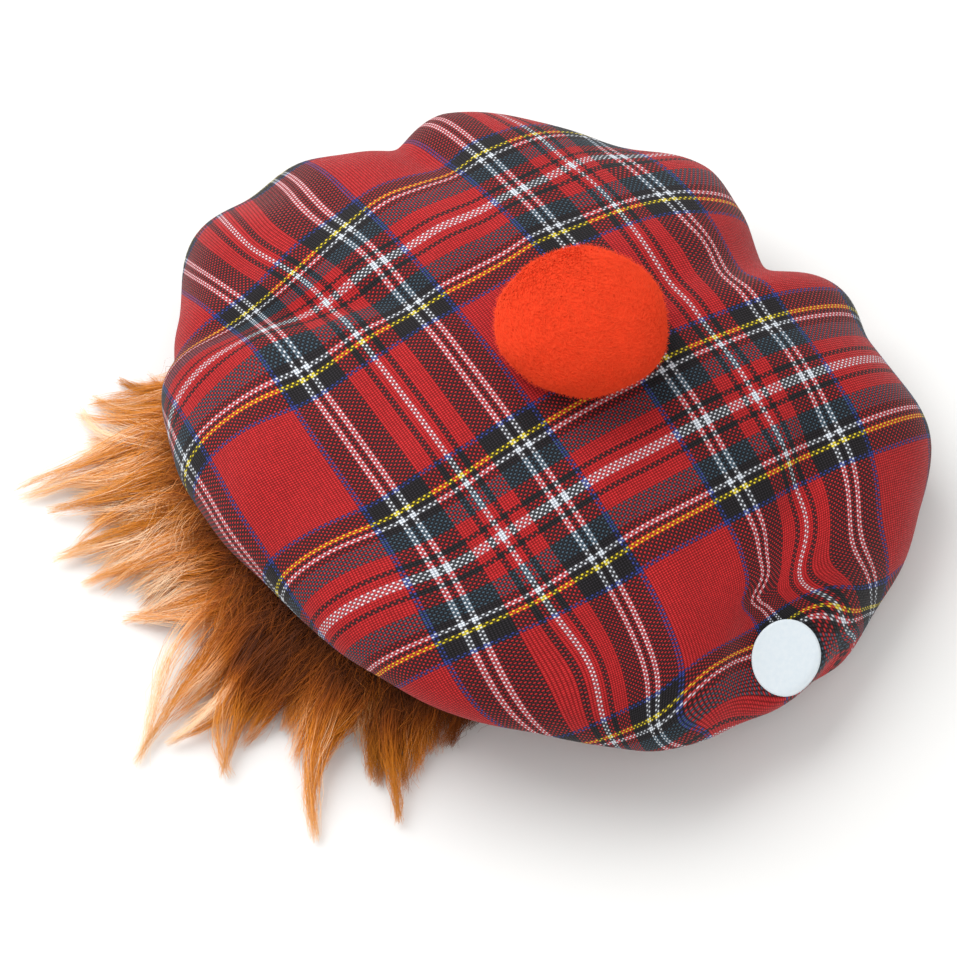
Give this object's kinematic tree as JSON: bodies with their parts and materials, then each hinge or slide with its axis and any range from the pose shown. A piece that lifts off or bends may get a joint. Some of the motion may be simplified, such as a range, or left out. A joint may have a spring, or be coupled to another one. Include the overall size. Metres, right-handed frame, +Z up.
{
  "type": "tam o shanter hat",
  "caption": "Floppy round cloth cap gathered into a headband, with a ball of yarn on its middle and a fringe of long fur at the back, lying as it rests on a table.",
  "frame": {"origin": "middle of the box that the hat fills, on the surface that it lies on", "axes": "+Z up; the wearer's forehead towards -Y and the fur fringe towards +Y; +X towards the wearer's left"},
  "size_m": [0.2642, 0.283, 0.1143],
  "materials": {
    "tartan_cloth": "plain-woven red tartan with dark, blue, yellow and white lines",
    "band_cloth": "plain-woven tartan, doubled",
    "ginger_fur": "long glossy acrylic pile in pointed locks",
    "orange_red_yarn": "soft cut pile",
    "white_paper": "coated self-adhesive paper"
  },
  "bodies": {
    "root": {"crown": "tartan_cloth", "headband": "band_cloth", "fur_fringe": "ginger_fur", "toorie": "orange_red_yarn", "press_disc": "white_paper"}
  },
  "joints": []
}
